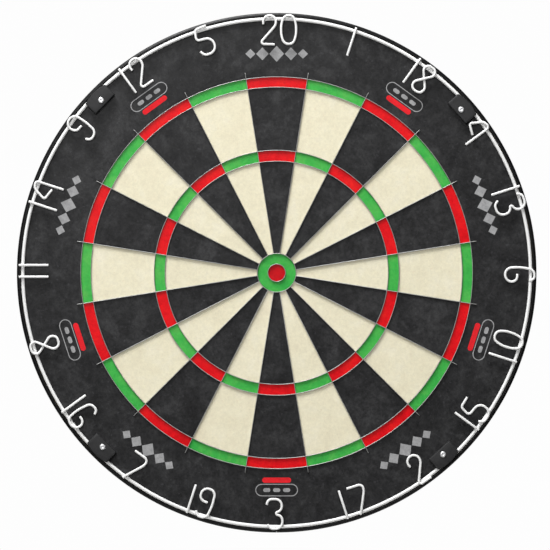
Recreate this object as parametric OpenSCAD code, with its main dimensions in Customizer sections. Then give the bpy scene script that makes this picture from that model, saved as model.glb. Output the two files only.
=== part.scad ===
// Steel-tip dartboard, hung on its wall bracket.
// +Z is up, the playing face looks along -Y, and the wall is the plane Y = 0.
// Sub-parts are drawn face-on: X right, Y up, Z out from the wall towards the player.

/* [Board] */
// Outer diameter over the steel band
board_d = 451; // [446:1:456]
// Thickness over the steel band
board_t = 38; // [36:1:42]
// Distance from the wall to the back of the board
stand_off = 10; // [9:1:14]
// How far the playing face lies below the front edge of the band
face_recess = 1.5; // [1:0.1:2]
// Thickness of the chipboard backing
backing_t = 10; // [8:1:14]

/* [Scoring rings] */
// Radius of the outer double wire
double_outer_r = 170; // [168:0.5:171]
// Radius of the inner double wire
double_inner_r = 161; // [158:0.5:163]
// Radius of the outer treble wire
treble_outer_r = 106.3; // [105:0.1:108]
// Radius of the inner treble wire
treble_inner_r = 96.8; // [95:0.1:99]
// Radius of the outer bull wire
outer_bull_r = 16.8; // [15:0.1:18]
// Radius of the bullseye wire
bullseye_r = 7.6; // [6:0.1:9]
// Radius at which the radial blades end
blade_end_r = 175.5; // [173:0.5:178]

/* [Blades] */
// Thickness of the blade strip
blade_t = 0.5; // [0.4:0.1:1]
// Height of the blade strip, most of it driven into the sisal
blade_h = 9.5; // [8:0.5:11]
// How far the blades stand above the playing face
blade_proud = 1.5; // [1:0.1:2]

/* [Number ring] */
// Radius of the ring wire's centre line
ring_r = 220.2; // [219:0.1:220.5]
// Diameter of the ring wire
ring_wire_d = 3; // [2.6:0.1:3.2]
// Diameter of the numeral wire
numeral_wire_d = 2.1; // [2:0.1:2.6]
// Radius at which the numerals that read outward-up are centred
numeral_r = 210.6; // [209:0.1:211]
// How much closer to the centre the inverted numerals sit
inverted_drop = 1.5; // [0:0.1:2]

/* [Clips] */
// Clock angles of the four clips, in degrees from the top
clip_angles = [48.5, 137.5, 225, 314.5]; // [0:0.5:360]
// Width of a clip along the ring
clip_w = 24; // [20:1:26]
// Radius of a clip's inner edge
clip_inner_r = 208.4; // [206:0.1:210]
// Radius of the crown of a clip's outer edge
clip_outer_r = 222.5; // [221.5:0.1:223]
// Radius at which the clip pins stand
pin_r = 213.3; // [212:0.1:214]
// Diameter of a clip pin
pin_d = 2.5; // [2:0.1:3]

/* [Wall bracket] */
// Width of the bracket on the wall
bracket_w = 104; // [100:1:110]
// Height of the bracket on the wall
bracket_h = 60; // [56:1:64]
// Distance between the wall screws, across
screw_pitch_x = 82; // [78:1:84]
// Distance between the wall screws, up
screw_pitch_y = 40; // [36:1:42]
// Diameter of the wall screw holes
screw_hole_d = 4.8; // [4:0.1:5.5]

/* [Hidden] */

sectors = 20;
sector_angle = 360 / sectors;
half_sector = sector_angle / 2;

// Gap between a bore and what sits in it
eps = 0.1;
// How far a cutting shape runs past what it cuts
over = 1;
// Facets of large, medium and small circles
fn_large = 180;
fn_medium = 64;
fn_small = 32;

// Levels, measured out from the wall
back_z = stand_off;
front_z = back_z + board_t;
face_z = front_z - face_recess;
band_t = 0.8;
backing_z = back_z + band_t;
mat_z = backing_z + backing_t;
layer_t = 2;
layer_z = face_z - layer_t;
blade_top_z = face_z + blade_proud;
blade_bottom_z = blade_top_z - blade_h;
lap_z = (blade_top_z + blade_bottom_z) / 2;

// Steel band
band_r = board_d / 2;
bead_r = 1.65;
bead_inset = 1.7;
bead_z = front_z - bead_r;
hem_w = 3;
seam_gap = 0.3;
core_r = band_r - band_t - 0.1;
strip_half_angle = 3.4;
strip_t = 0.75;
strip_z = [back_z + 6, front_z - 6];
pocket_w = 29;
pocket_depth = 1.9;
pocket_z = [back_z + 5.5, front_z - 5.5];
rivet_r = 1.55;
rivet_x = 6;
rivet_z = [back_z + 11, front_z - 11];
rivet_inner_r = band_r - 2.3;
rivet_outer_r = band_r - 0.15;
rivet_bore_r = rivet_r + eps / 2;
rivet_bore_h = 10;

// Playing face
slit = blade_t / 2 + eps / 2;
blade_end_play = 0.2;
face_outer_r = band_r - 3.5;
ring_radii = [double_outer_r, double_inner_r, treble_outer_r, treble_inner_r];
lap_play = 0.1;

// Number ring
ring_wire_r = ring_wire_d / 2;
ring_gap = 0.3;
ring_z = face_z + ring_gap + ring_wire_r;
wire_r = numeral_wire_d / 2;
wire_sides = 8;
weld_gap = 0.02;
numeral_z = ring_z + ring_wire_r + wire_r + weld_gap;
bend_step = 24;
bar_half = 12.9;
crossing_lift = wire_r + eps;

// Clips and pins
clip_bottom_z = face_z + ring_gap;
clip_top_z = face_z + 5.8;
clip_bevel = 0.7;
clip_crown_r = 39;
clip_slice = 0.01;
notch_y = ring_r - ring_wire_r - 0.8;
notch_z = ring_z + ring_wire_r + 0.3;
pin_hole_r = pin_d / 2 + eps / 2;
pin_tip_z = face_z - 18.5;
pin_hole_z = pin_tip_z - 0.5;
pin_head_r = 2.5;
pin_head_t = 1;
pin_dimple_r = 0.9;
pin_dimple_depth = 0.4;

// Wall bracket and hanger
sheet_t = 2;
plate_z = 6;
plate_half_w = 22;
riser_w = 6;
bend_shift = 1;
corner_cut = 5;
slot_r = 6.3;
lead_in = 3;
bush_neck_r = 6;
bush_disc_r = 11;
bush_disc_z = 3.4;
bush_disc_t = 2.2;
bush_top_z = backing_z - 0.4;
hanger_shank_r = 3;
hanger_bore_r = hanger_shank_r + eps / 2;
hanger_head_r = 6.5;
hanger_head_z = 0.9;
hanger_head_t = 2.1;
hanger_tip_z = backing_z + backing_t - 1;
hanger_slot_w = 1.6;
hanger_slot_depth = 1;
hanger_slot_len = 1.3 * hanger_head_r;

// Rear feet
foot_angles = [0, 120, 240];
foot_circle_r = 185;
foot_r = 11;
foot_bore_r = 2.1;
foot_counterbore_r = 4.2;
foot_counterbore_depth = 7;
foot_screw_r = 2;
foot_screw_head_r = 3.9;
foot_screw_head_t = 2.6;
foot_screw_tip_z = backing_z + backing_t - 2;
foot_screw_bore_r = foot_screw_r + eps / 2;

// Digits as bent wire: each point is [x, y, bend radius, lift], and lift is left out where it is 0
DIGIT_0 = [[-3.9, 12.4, 5], [3.9, 12.4, 5], [6.5, 4.5, 20], [6.5, -4.5, 20], [3.9, -12.4, 5],
    [-3.9, -12.4, 5], [-6.5, -4.5, 20], [-6.5, 4.5, 20]];
DIGIT_2 = [[-4.5, 4.6, 0], [-4.7, 12.3, 5.4], [6.4, 12.3, 5.4], [6.4, 4, 7.2], [-8, -12.4, 1.9],
    [5.5, -12.7, 0]];
DIGIT_3 = [[-6.8, 8, 0], [-5.6, 12.9, 4.5], [6.3, 12.9, 5.6], [6.3, 3.2, 5], [-1.4, 0.2, 1.2],
    [6.9, -1.6, 5], [6.9, -12.8, 5.9], [-3.6, -12.8, 5.2], [-6.2, -8.9, 0]];
DIGIT_4 = [[6.1, -12.9, 0], [6.1, 12.8, 2.6], [-0.6, 11.5, 6], [-6.9, 0.6, 1.8], [3, -3.2, 0]];
DIGIT_5 = [[4.8, 12.1, 0], [-5.4, 11.4, 3.2], [-7.2, 1.8, 2.6], [6.9, 0.9, 6.4], [6.9, -12.2, 6.2],
    [-4, -12.2, 4.5], [-6.7, -8, 0]];
DIGIT_6 = [[5.2, 9.2, 0], [3.2, 12.8, 3.2], [-4.4, 12.8, 5.4], [-6.6, -1, 30], [-5.6, -12.5, 5.6],
    [6, -12.5, 5.6], [6, -2.1, 4.6], [-0.8, -2.1, 0]];
DIGIT_7 = [[-7.2, 12.3, 0], [7.2, 12.3, 3.8], [6.6, 6, 10], [-2.4, -12.9, 0]];
DIGIT_8 = [[-4.2, 12.3, 4], [4.2, 12.3, 4], [5.6, 7.2, 4],
    [2.3, 3.3, 0, 0.5], [0, 0.58, 0, 1], [-2.3, -2.14, 0, 0.5],
    [-5.9, -6.4, 4.4], [-4.3, -12.3, 4.3], [4.3, -12.3, 4.3], [5.9, -6.4, 4.4],
    [2.3, -2.14, 0, -0.5], [0, 0.58, 0, -1], [-2.3, 3.3, 0, -0.5],
    [-5.6, 7.2, 4]];
DIGIT_9 = [[1.8, 1.1, 0], [-6, 1.7, 4.9], [-6, 12.8, 5.6], [5.4, 12.8, 5.4], [6.4, 0, 35],
    [4.8, -12.5, 5.6], [-3.4, -12.5, 3.8], [-5.7, -8.3, 0]];
CLOSED_DIGITS = [0, 8];

// Each numeral as [value, inverted, [[digit, sideways offset], ...]], clockwise from the top
NUMERALS = [
    [20, false, [[2, -7.1], [0, 10.4]]],
    [1, false, [[1, 0]]],
    [18, false, [[1, -8.2], [8, 4.6]]],
    [4, false, [[4, 0.4]]],
    [13, false, [[1, -6.5], [3, 6.1]]],
    [6, false, [[6, 1.7]]],
    [10, true, [[1, -9.4], [0, 6.9]]],
    [15, true, [[1, -7.2], [5, 5.2]]],
    [2, true, [[2, -1]]],
    [17, true, [[1, -7.2], [7, 6.9]]],
    [3, true, [[3, -1.9]]],
    [19, true, [[1, -9.8], [9, 2.9]]],
    [7, true, [[7, -1.5]]],
    [16, true, [[1, -11.5], [6, 1.4]]],
    [8, false, [[8, 2.6]]],
    [11, false, [[1, -3.5], [1, 6.6]]],
    [14, false, [[1, -7.6], [4, 5.2]]],
    [9, false, [[9, 2]]],
    [12, false, [[1, -6.9], [2, 6.2]]],
    [5, false, [[5, 3]]]];

black = "#303032";
cream = "#E7DFC5";
red = "#D81720";
green = "#4AB04D";
steel = "#B9BCC0";
wire_white = "#F2F3F4";

// ---- Helpers ----

// Turns the face-on drawing so that the playing face looks along -Y
module facing() rotate([90, 0, 0]) children();

// Places a child drawn at the top of the board at a clock angle
module at_clock(angle) rotate([0, 0, -angle]) children();

module tube(r_out, r_in, z0, z1) {
    translate([0, 0, z0])
        difference() {
            cylinder(r = r_out, h = z1 - z0, $fn = fn_large);
            translate([0, 0, -over])
                cylinder(r = r_in, h = z1 - z0 + 2 * over, $fn = fn_large);
        }
}

// Wedge of one sector, its sides parallel to the blades and clear of them
module sector_wedge(z0, z1) {
    apex = slit / sin(half_sector);
    reach = band_r;
    translate([0, 0, z0])
        linear_extrude(z1 - z0)
            polygon([[0, apex], [-reach * tan(half_sector), apex + reach],
                [reach * tan(half_sector), apex + reach]]);
}

// Dyed face layer of one bed, between two ring blades
module bed(k, r_in, r_out) {
    at_clock(sector_angle * k)
        intersection() {
            tube(r_out - slit, r_in + slit, layer_z, face_z);
            sector_wedge(layer_z - over, face_z + over);
        }
}

// Direction of a vector in the board's plane
function unit(v) = v / norm(v);
function flat(p) = [p[0], p[1]];
function lift_of(p) = len(p) > 3 ? p[3] * crossing_lift : 0;

// Points of one bend: the corner itself, or an arc of the stated radius
function bend(before, corner, after) =
    corner[2] == 0 ? [[corner[0], corner[1], lift_of(corner)]] :
    let (
        along_in = unit(flat(corner) - flat(before)),
        along_out = unit(flat(after) - flat(corner)),
        turn_sign = sign(along_in[0] * along_out[1] - along_in[1] * along_out[0]),
        turn = acos(max(-1, min(1, along_in * along_out))),
        setback = corner[2] * tan(turn / 2),
        centre = flat(corner) - along_in * setback
            + turn_sign * corner[2] * [-along_in[1], along_in[0]],
        start = turn_sign * -90 + atan2(along_in[1], along_in[0]),
        steps = ceil(turn / bend_step))
    [for (i = [0:steps])
        let (a = start + turn_sign * turn * i / steps)
        [centre[0] + corner[2] * cos(a), centre[1] + corner[2] * sin(a), 0]];

// Centre line of a digit, every bend rounded
function wire_path(points, closed) =
    let (n = len(points))
    [for (i = [0:n - 1])
        each bend(points[(i + n - 1) % n],
            !closed && (i == 0 || i == n - 1) ? [points[i][0], points[i][1], 0] : points[i],
            points[(i + 1) % n])];

function path_direction(path, i, closed) =
    let (
        n = len(path),
        here = flat(path[i]),
        before = closed || i > 0 ? unit(here - flat(path[(i + n - 1) % n])) : [0, 0],
        after = closed || i < n - 1 ? unit(flat(path[(i + 1) % n]) - here) : [0, 0])
    unit(before + after);

// Round wire swept along a path that lies almost flat
module swept_wire(path, closed) {
    n = len(path);
    m = wire_sides;
    points = [for (i = [0:n - 1])
        let (d = path_direction(path, i, closed))
        for (s = [0:m - 1])
            let (a = 360 * (s + 0.5) / m)
            [path[i][0] - d[1] * wire_r * cos(a), path[i][1] + d[0] * wire_r * cos(a),
                path[i][2] + wire_r * sin(a)]];
    last = closed ? n - 1 : n - 2;
    sides = [for (i = [0:last]) for (s = [0:m - 1])
        let (j = (i + 1) % n, t = (s + 1) % m)
        [i * m + s, j * m + s, j * m + t, i * m + t]];
    ends = closed ? [] : [[for (s = [0:m - 1]) s], [for (s = [m - 1:-1:0]) (n - 1) * m + s]];
    polyhedron(points = points, faces = concat(sides, ends), convexity = 6);
}

module digit(d) {
    shapes = [DIGIT_0, [], DIGIT_2, DIGIT_3, DIGIT_4, DIGIT_5, DIGIT_6, DIGIT_7, DIGIT_8, DIGIT_9];
    closed = len(search(d, CLOSED_DIGITS)) > 0;
    if (d == 1)
        rotate([90, 0, 0])
            cylinder(r = wire_r, h = 2 * bar_half, center = true, $fn = fn_small);
    else
        swept_wire(wire_path(shapes[d], closed), closed);
}

// ---- Wall bracket and hanger ----

// Pressed steel bracket with the open slot that the board hangs in
module wall_bracket() {
    half_w = bracket_w / 2;
    foot_x = plate_half_w + riser_w;
    cut_h = sheet_t + 2 * over;
    corner_side = corner_cut * sqrt(2);
    profile = [[-half_w, 0], [-foot_x, 0], [-plate_half_w, plate_z], [plate_half_w, plate_z],
        [foot_x, 0], [half_w, 0], [half_w, sheet_t], [foot_x + bend_shift, sheet_t],
        [plate_half_w + bend_shift, plate_z + sheet_t], [-plate_half_w - bend_shift, plate_z + sheet_t],
        [-foot_x - bend_shift, sheet_t], [-half_w, sheet_t]];
    color(steel)
        facing()
            difference() {
                translate([0, bracket_h / 2, 0])
                    rotate([90, 0, 0])
                        linear_extrude(bracket_h)
                            polygon(profile);
                translate([0, 0, plate_z - over])
                    cylinder(r = slot_r, h = cut_h, $fn = fn_medium);
                translate([-slot_r, 0, plate_z - over])
                    cube([2 * slot_r, bracket_h, cut_h]);
                translate([0, bracket_h / 2, plate_z - over])
                    linear_extrude(cut_h)
                        polygon([[-slot_r, -2 * lead_in], [slot_r, -2 * lead_in],
                            [slot_r + lead_in, over], [-slot_r - lead_in, over]]);
                for (sx = [-1, 1])
                    for (sy = [-1, 1])
                        translate([sx * screw_pitch_x / 2, sy * screw_pitch_y / 2, -over])
                            cylinder(d = screw_hole_d, h = cut_h, $fn = fn_medium);
                for (sx = [-1, 1])
                    for (sy = [-1, 1])
                        translate([sx * half_w, sy * bracket_h / 2, 0])
                            rotate([0, 0, 45])
                                cube([corner_side, corner_side, 4 * sheet_t], center = true);
            }
}

// Flanged bush that drops into the bracket's slot and lets the board turn
module hanger_bush() {
    color(steel)
        facing()
            difference() {
                union() {
                    translate([0, 0, bush_disc_z])
                        cylinder(r = bush_disc_r, h = bush_disc_t, $fn = fn_medium);
                    translate([0, 0, bush_disc_z])
                        cylinder(r = bush_neck_r, h = bush_top_z - bush_disc_z, $fn = fn_medium);
                }
                cylinder(r = hanger_bore_r, h = front_z, $fn = fn_medium);
            }
}

// Centre screw that holds the bush against the chipboard
module hanger_screw() {
    shank_z = hanger_head_z + hanger_head_t / 2;
    color("#8E9196")
        facing()
            difference() {
                union() {
                    translate([0, 0, hanger_head_z])
                        cylinder(r = hanger_head_r, h = hanger_head_t, $fn = fn_medium);
                    translate([0, 0, shank_z])
                        cylinder(r = hanger_shank_r, h = hanger_tip_z - shank_z, $fn = fn_medium);
                }
                for (a = [0, 90])
                    rotate([0, 0, a])
                        translate([0, 0, hanger_head_z])
                            cube([hanger_slot_len, hanger_slot_w, 2 * hanger_slot_depth], center = true);
            }
}

// ---- Body of the board ----

// Pocket for the strip that closes the band, at the bottom of the board
module joint_pocket() {
    translate([-pocket_w / 2, -band_r, pocket_z[0]])
        cube([pocket_w, band_r - core_r + pocket_depth, pocket_z[1] - pocket_z[0]]);
}

module backing_board() {
    color("#9A7B55")
        facing()
            difference() {
                translate([0, 0, backing_z])
                    cylinder(r = core_r, h = backing_t, $fn = fn_large);
                cylinder(r = hanger_bore_r, h = hanger_tip_z + eps, $fn = fn_medium);
                for (a = foot_angles)
                    at_clock(a)
                        translate([0, foot_circle_r, 0])
                            cylinder(r = foot_screw_bore_r, h = foot_screw_tip_z + eps, $fn = fn_small);
                joint_pocket();
            }
}

module rear_feet() {
    color("#26272A")
        facing()
            for (a = foot_angles)
                at_clock(a)
                    translate([0, foot_circle_r, 0])
                        difference() {
                            cylinder(r = foot_r, h = backing_z, $fn = fn_medium);
                            translate([0, 0, -over])
                                cylinder(r = foot_bore_r, h = backing_z + 2 * over, $fn = fn_small);
                            translate([0, 0, -over])
                                cylinder(r = foot_counterbore_r, h = foot_counterbore_depth + over,
                                    $fn = fn_medium);
                        }
}

module foot_screws() {
    head_z = foot_counterbore_depth - foot_screw_head_t;
    color("#A6A8AC")
        facing()
            for (a = foot_angles)
                at_clock(a)
                    translate([0, foot_circle_r, head_z]) {
                        cylinder(r = foot_screw_head_r, h = foot_screw_head_t, $fn = fn_medium);
                        cylinder(r = foot_screw_r, h = foot_screw_tip_z - head_z, $fn = fn_small);
                    }
}

// Places a child drawn along Z so that it points out through the bottom of the band
module at_rivets() {
    for (x = [-rivet_x, rivet_x])
        for (z = rivet_z)
            translate([x, 0, z])
                rotate([90, 0, 0])
                    children();
}

// Holes for the rivets, through the band and the strip
module rivet_bores() {
    at_rivets()
        translate([0, 0, band_r - rivet_bore_h / 2])
            cylinder(r = rivet_bore_r, h = rivet_bore_h, $fn = fn_small);
}

// Steel strip bent round the board, with a rolled front edge and a hemmed back edge
module steel_band() {
    color("#1B1C1E")
        facing()
            difference() {
                rotate_extrude($fn = fn_large) {
                    translate([band_r - band_t, back_z])
                        square([band_t, bead_z - back_z]);
                    translate([band_r - bead_inset, bead_z])
                        circle(r = bead_r, $fn = fn_small);
                    translate([band_r - hem_w, back_z])
                        square([hem_w, band_t]);
                }
                translate([-seam_gap / 2, -band_r - over, 0])
                    cube([seam_gap, hem_w + 3 * over, front_z + over]);
                rivet_bores();
            }
}

module band_joint_strip() {
    strip_r = band_r - band_t - eps / 2;
    color("#3A3B3E")
        facing()
            difference() {
                intersection() {
                    tube(strip_r, strip_r - strip_t, strip_z[0], strip_z[1]);
                    linear_extrude(front_z)
                        polygon([[0, 0], [-band_r * tan(strip_half_angle), -band_r],
                            [band_r * tan(strip_half_angle), -band_r]]);
                }
                rivet_bores();
            }
}

module band_rivets() {
    color("#77797D")
        facing()
            at_rivets()
                translate([0, 0, rivet_inner_r])
                    cylinder(r = rivet_r, h = rivet_outer_r - rivet_inner_r, $fn = fn_small);
}

// Compressed sisal, slotted where the blades are driven in
module sisal_mat() {
    slot_len = blade_end_r - outer_bull_r + blade_end_play;
    color("#B9A679")
        facing()
            difference() {
                translate([0, 0, mat_z])
                    cylinder(r = core_r, h = layer_z - mat_z, $fn = fn_large);
                for (r = concat(ring_radii, [outer_bull_r, bullseye_r]))
                    tube(r + slit, r - slit, blade_bottom_z - eps, face_z);
                for (k = [0:sectors - 1])
                    at_clock(sector_angle * k + half_sector)
                        translate([-slit, outer_bull_r, blade_bottom_z - eps])
                            cube([2 * slit, slot_len, blade_h]);
                for (a = clip_angles)
                    at_clock(a)
                        translate([0, pin_r, pin_hole_z])
                            cylinder(r = pin_hole_r, h = front_z, $fn = fn_small);
                joint_pocket();
            }
}

// ---- Dyed face layers ----

// Black band outside the doubles, behind the number ring
module number_band() {
    color(black)
        facing()
            difference() {
                tube(face_outer_r, double_outer_r + slit, layer_z, face_z);
                for (k = [0:sectors - 1])
                    at_clock(sector_angle * k + half_sector)
                        translate([-slit, double_outer_r, layer_z - over])
                            cube([2 * slit, blade_end_r - double_outer_r + blade_end_play,
                                layer_t + 2 * over]);
                for (a = clip_angles)
                    at_clock(a)
                        translate([0, pin_r, layer_z - over])
                            cylinder(r = pin_hole_r, h = layer_t + 2 * over, $fn = fn_small);
            }
}

// Single beds of every second sector, from the given first one
module singles(first) {
    for (k = [first:2:sectors - 1]) {
        bed(k, outer_bull_r, treble_inner_r);
        bed(k, treble_outer_r, double_inner_r);
    }
}

// Double and treble beds of every second sector, from the given first one
module scoring_beds(first) {
    for (k = [first:2:sectors - 1]) {
        bed(k, treble_inner_r, treble_outer_r);
        bed(k, double_inner_r, double_outer_r);
    }
}

module black_singles() color(black) facing() singles(0);

module cream_singles() color(cream) facing() singles(1);

module red_scoring_beds() color(red) facing() scoring_beds(0);

module green_scoring_beds() color(green) facing() scoring_beds(1);

module outer_bull_bed() {
    color(green)
        facing()
            tube(outer_bull_r - slit, bullseye_r + slit, layer_z, face_z);
}

module bullseye_bed() {
    color(red)
        facing()
            translate([0, 0, layer_z])
                cylinder(r = bullseye_r - slit, h = layer_t, $fn = fn_medium);
}

// ---- Blade spider ----

// Straight blades, notched from below where the ring blades cross
module radial_blades() {
    start_r = outer_bull_r + blade_t / 2 + lap_play;
    notch = blade_t + lap_play;
    color(steel)
        facing()
            for (k = [0:sectors - 1])
                at_clock(sector_angle * k + half_sector)
                    difference() {
                        translate([-blade_t / 2, start_r, blade_bottom_z])
                            cube([blade_t, blade_end_r - start_r, blade_h]);
                        for (r = ring_radii)
                            translate([-over, r - notch / 2, blade_bottom_z - over])
                                cube([2 * over, notch, lap_z - blade_bottom_z + over + lap_play / 2]);
                    }
}

// Ring blade, notched from above where the radial blades cross
module ring_blade(r) {
    notch = blade_t + lap_play;
    color(steel)
        facing()
            difference() {
                tube(r + blade_t / 2, r - blade_t / 2, blade_bottom_z, blade_top_z);
                for (k = [0:sectors - 1])
                    at_clock(sector_angle * k + half_sector)
                        translate([-notch / 2, r - over, lap_z - lap_play / 2])
                            cube([notch, 2 * over, blade_h]);
            }
}

module double_outer_blade() ring_blade(double_outer_r);

module double_inner_blade() ring_blade(double_inner_r);

module treble_outer_blade() ring_blade(treble_outer_r);

module treble_inner_blade() ring_blade(treble_inner_r);

// The bull blades meet no other blade, so they are plain rings
module outer_bull_blade() {
    color(steel)
        facing()
            tube(outer_bull_r + blade_t / 2, outer_bull_r - blade_t / 2, blade_bottom_z, blade_top_z);
}

module bullseye_blade() {
    color(steel)
        facing()
            tube(bullseye_r + blade_t / 2, bullseye_r - blade_t / 2, blade_bottom_z, blade_top_z);
}

// ---- Number ring ----

module number_ring_wire() {
    color(wire_white)
        facing()
            translate([0, 0, ring_z])
                rotate_extrude($fn = fn_large)
                    translate([ring_r, 0])
                        circle(r = ring_wire_r, $fn = fn_small);
}

// One numeral, in front of the ring wire at its place round the board
module numeral(k) {
    entry = NUMERALS[k];
    inverted = entry[1];
    color(wire_white)
        facing()
            at_clock(sector_angle * k)
                translate([0, numeral_r - (inverted ? inverted_drop : 0), numeral_z])
                    rotate([0, 0, inverted ? 180 : 0])
                        for (d = entry[2])
                            translate([d[1], 0, 0])
                                digit(d[0]);
}

module named_numeral(value) {
    for (k = [0:sectors - 1])
        if (NUMERALS[k][0] == value)
            numeral(k);
}

// ---- Clips ----

module clip_outline(inset) {
    depth = clip_outer_r - clip_inner_r;
    intersection() {
        translate([-clip_w / 2 + inset, clip_inner_r + inset])
            square([clip_w - 2 * inset, depth - 2 * inset]);
        translate([0, clip_outer_r - clip_crown_r])
            circle(r = clip_crown_r - inset, $fn = fn_large);
    }
}

// Moulded block that holds the ring wire down; open underneath towards the rim
module clip(n) {
    color("#1F2022")
        facing()
            at_clock(clip_angles[n])
                difference() {
                    union() {
                        translate([0, 0, clip_bottom_z])
                            linear_extrude(clip_top_z - clip_bevel - clip_bottom_z)
                                clip_outline(0);
                        hull() {
                            translate([0, 0, clip_top_z - clip_bevel])
                                linear_extrude(clip_slice)
                                    clip_outline(0);
                            translate([0, 0, clip_top_z - clip_slice])
                                linear_extrude(clip_slice)
                                    clip_outline(clip_bevel);
                        }
                    }
                    translate([-clip_w, notch_y, 0])
                        cube([2 * clip_w, clip_w, notch_z]);
                    translate([0, pin_r, 0])
                        cylinder(r = pin_hole_r, h = 2 * front_z, $fn = fn_small);
                }
}

module clip_pin(n) {
    color("#C9CBCE")
        facing()
            at_clock(clip_angles[n])
                translate([0, pin_r, 0])
                    difference() {
                        union() {
                            translate([0, 0, pin_tip_z])
                                cylinder(d = pin_d, h = clip_top_z - pin_tip_z + eps, $fn = fn_small);
                            translate([0, 0, clip_top_z])
                                cylinder(r = pin_head_r, h = pin_head_t, $fn = fn_medium);
                        }
                        translate([0, 0, clip_top_z + pin_head_t - pin_dimple_depth])
                            cylinder(r = pin_dimple_r, h = pin_head_t, $fn = fn_small);
                    }
}

wall_bracket();
hanger_bush();
hanger_screw();
backing_board();
rear_feet();
foot_screws();
steel_band();
band_joint_strip();
band_rivets();
sisal_mat();
number_band();
black_singles();
cream_singles();
red_scoring_beds();
green_scoring_beds();
outer_bull_bed();
bullseye_bed();
radial_blades();
double_outer_blade();
double_inner_blade();
treble_outer_blade();
treble_inner_blade();
outer_bull_blade();
bullseye_blade();
number_ring_wire();
named_numeral(20);  // numeral_20
named_numeral(1);  // numeral_1
named_numeral(18);  // numeral_18
named_numeral(4);  // numeral_4
named_numeral(13);  // numeral_13
named_numeral(6);  // numeral_6
named_numeral(10);  // numeral_10
named_numeral(15);  // numeral_15
named_numeral(2);  // numeral_2
named_numeral(17);  // numeral_17
named_numeral(3);  // numeral_3
named_numeral(19);  // numeral_19
named_numeral(7);  // numeral_7
named_numeral(16);  // numeral_16
named_numeral(8);  // numeral_8
named_numeral(11);  // numeral_11
named_numeral(14);  // numeral_14
named_numeral(9);  // numeral_9
named_numeral(12);  // numeral_12
named_numeral(5);  // numeral_5
clip(0);  // clip_1
clip(1);  // clip_2
clip(2);  // clip_3
clip(3);  // clip_4
clip_pin(0);  // clip_pin_1
clip_pin(1);  // clip_pin_2
clip_pin(2);  // clip_pin_3
clip_pin(3);  // clip_pin_4
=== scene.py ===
import math
import bmesh
import bpy
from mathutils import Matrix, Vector, noise


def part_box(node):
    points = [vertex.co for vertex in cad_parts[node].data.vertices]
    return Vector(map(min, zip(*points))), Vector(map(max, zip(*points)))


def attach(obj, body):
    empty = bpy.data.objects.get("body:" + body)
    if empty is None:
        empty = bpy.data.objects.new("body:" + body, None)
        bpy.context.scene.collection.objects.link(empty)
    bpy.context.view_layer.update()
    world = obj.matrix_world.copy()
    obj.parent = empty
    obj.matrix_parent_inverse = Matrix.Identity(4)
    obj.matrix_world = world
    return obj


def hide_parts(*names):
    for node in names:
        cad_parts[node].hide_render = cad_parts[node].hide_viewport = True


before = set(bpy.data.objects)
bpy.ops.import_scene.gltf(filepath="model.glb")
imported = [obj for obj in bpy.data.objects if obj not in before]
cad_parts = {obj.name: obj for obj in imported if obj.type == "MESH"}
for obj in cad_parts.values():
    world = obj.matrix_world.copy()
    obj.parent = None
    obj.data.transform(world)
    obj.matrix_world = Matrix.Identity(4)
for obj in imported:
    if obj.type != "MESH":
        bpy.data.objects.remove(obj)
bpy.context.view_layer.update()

# Shapes are drawn face-on in millimetres, as in the CAD model: X right, Y up, Z out from the wall.
# A clock angle is in degrees, clockwise from the top.
MM = 0.001
SECTORS = 20
SECTOR = 360 / SECTORS


# ---- Sizes read from the CAD nodes ----

def front(node):
    """How far out from the wall a CAD node reaches"""
    return -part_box(node)[0].y / MM


def back(node):
    """Where a CAD node starts, out from the wall"""
    return -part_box(node)[1].y / MM


def outer_radius(node):
    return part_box(node)[1].x / MM


BAND_R = outer_radius("steel_band")
BACK_Z = back("steel_band")
FRONT_Z = front("steel_band")
FACE_Z = front("number_band")
LAYER_Z = back("number_band")
FACE_OUTER_R = outer_radius("number_band")
BLADE_TOP_Z = front("radial_blades")
BLADE_BOTTOM_Z = back("radial_blades")
BLADE_T = 0.5
BLADE_END_R = 175.5
BLADE_START_R = 17.15
RING_BLADES = ["double_outer_blade", "double_inner_blade", "treble_outer_blade", "treble_inner_blade",
    "outer_bull_blade", "bullseye_blade"]
BLADE_R = {name: outer_radius(name) - BLADE_T / 2 for name in RING_BLADES}
SLIT = BLADE_T / 2 + 0.05
RING_Z = (front("number_ring_wire") + back("number_ring_wire")) / 2
RING_WIRE_R = (front("number_ring_wire") - back("number_ring_wire")) / 2
RING_R = outer_radius("number_ring_wire") - RING_WIRE_R
NUMERAL_WIRE_R = (front("numeral_1") - back("numeral_1")) / 2
NUMERAL_Z = back("numeral_1") + NUMERAL_WIRE_R
CLIP_BOTTOM_Z = back("clip_1")
CLIP_TOP_Z = front("clip_1")
PIN_TIP_Z = back("clip_pin_1")
PIN_TOP_Z = front("clip_pin_1")


# ---- Mesh building ----

# Radius of the small flat in the middle of a turned piece
AXIS_R = 0.3
FILLET_STEPS = 4


def to_world(p):
    return Vector((p[0], -p[2], p[1])) * MM


def at_clock(p, angle):
    """A point drawn at the top of the board, moved to a clock angle"""
    a = math.radians(angle)
    return (p[0] * math.cos(a) + p[1] * math.sin(a), -p[0] * math.sin(a) + p[1] * math.cos(a), p[2])


def polar(r, angle, z):
    return at_clock((0, r, z), angle)


def full_turn(n):
    """Evenly spaced angles round a full turn, in radians"""
    return [2 * math.pi * i / n for i in range(n)]


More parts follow.
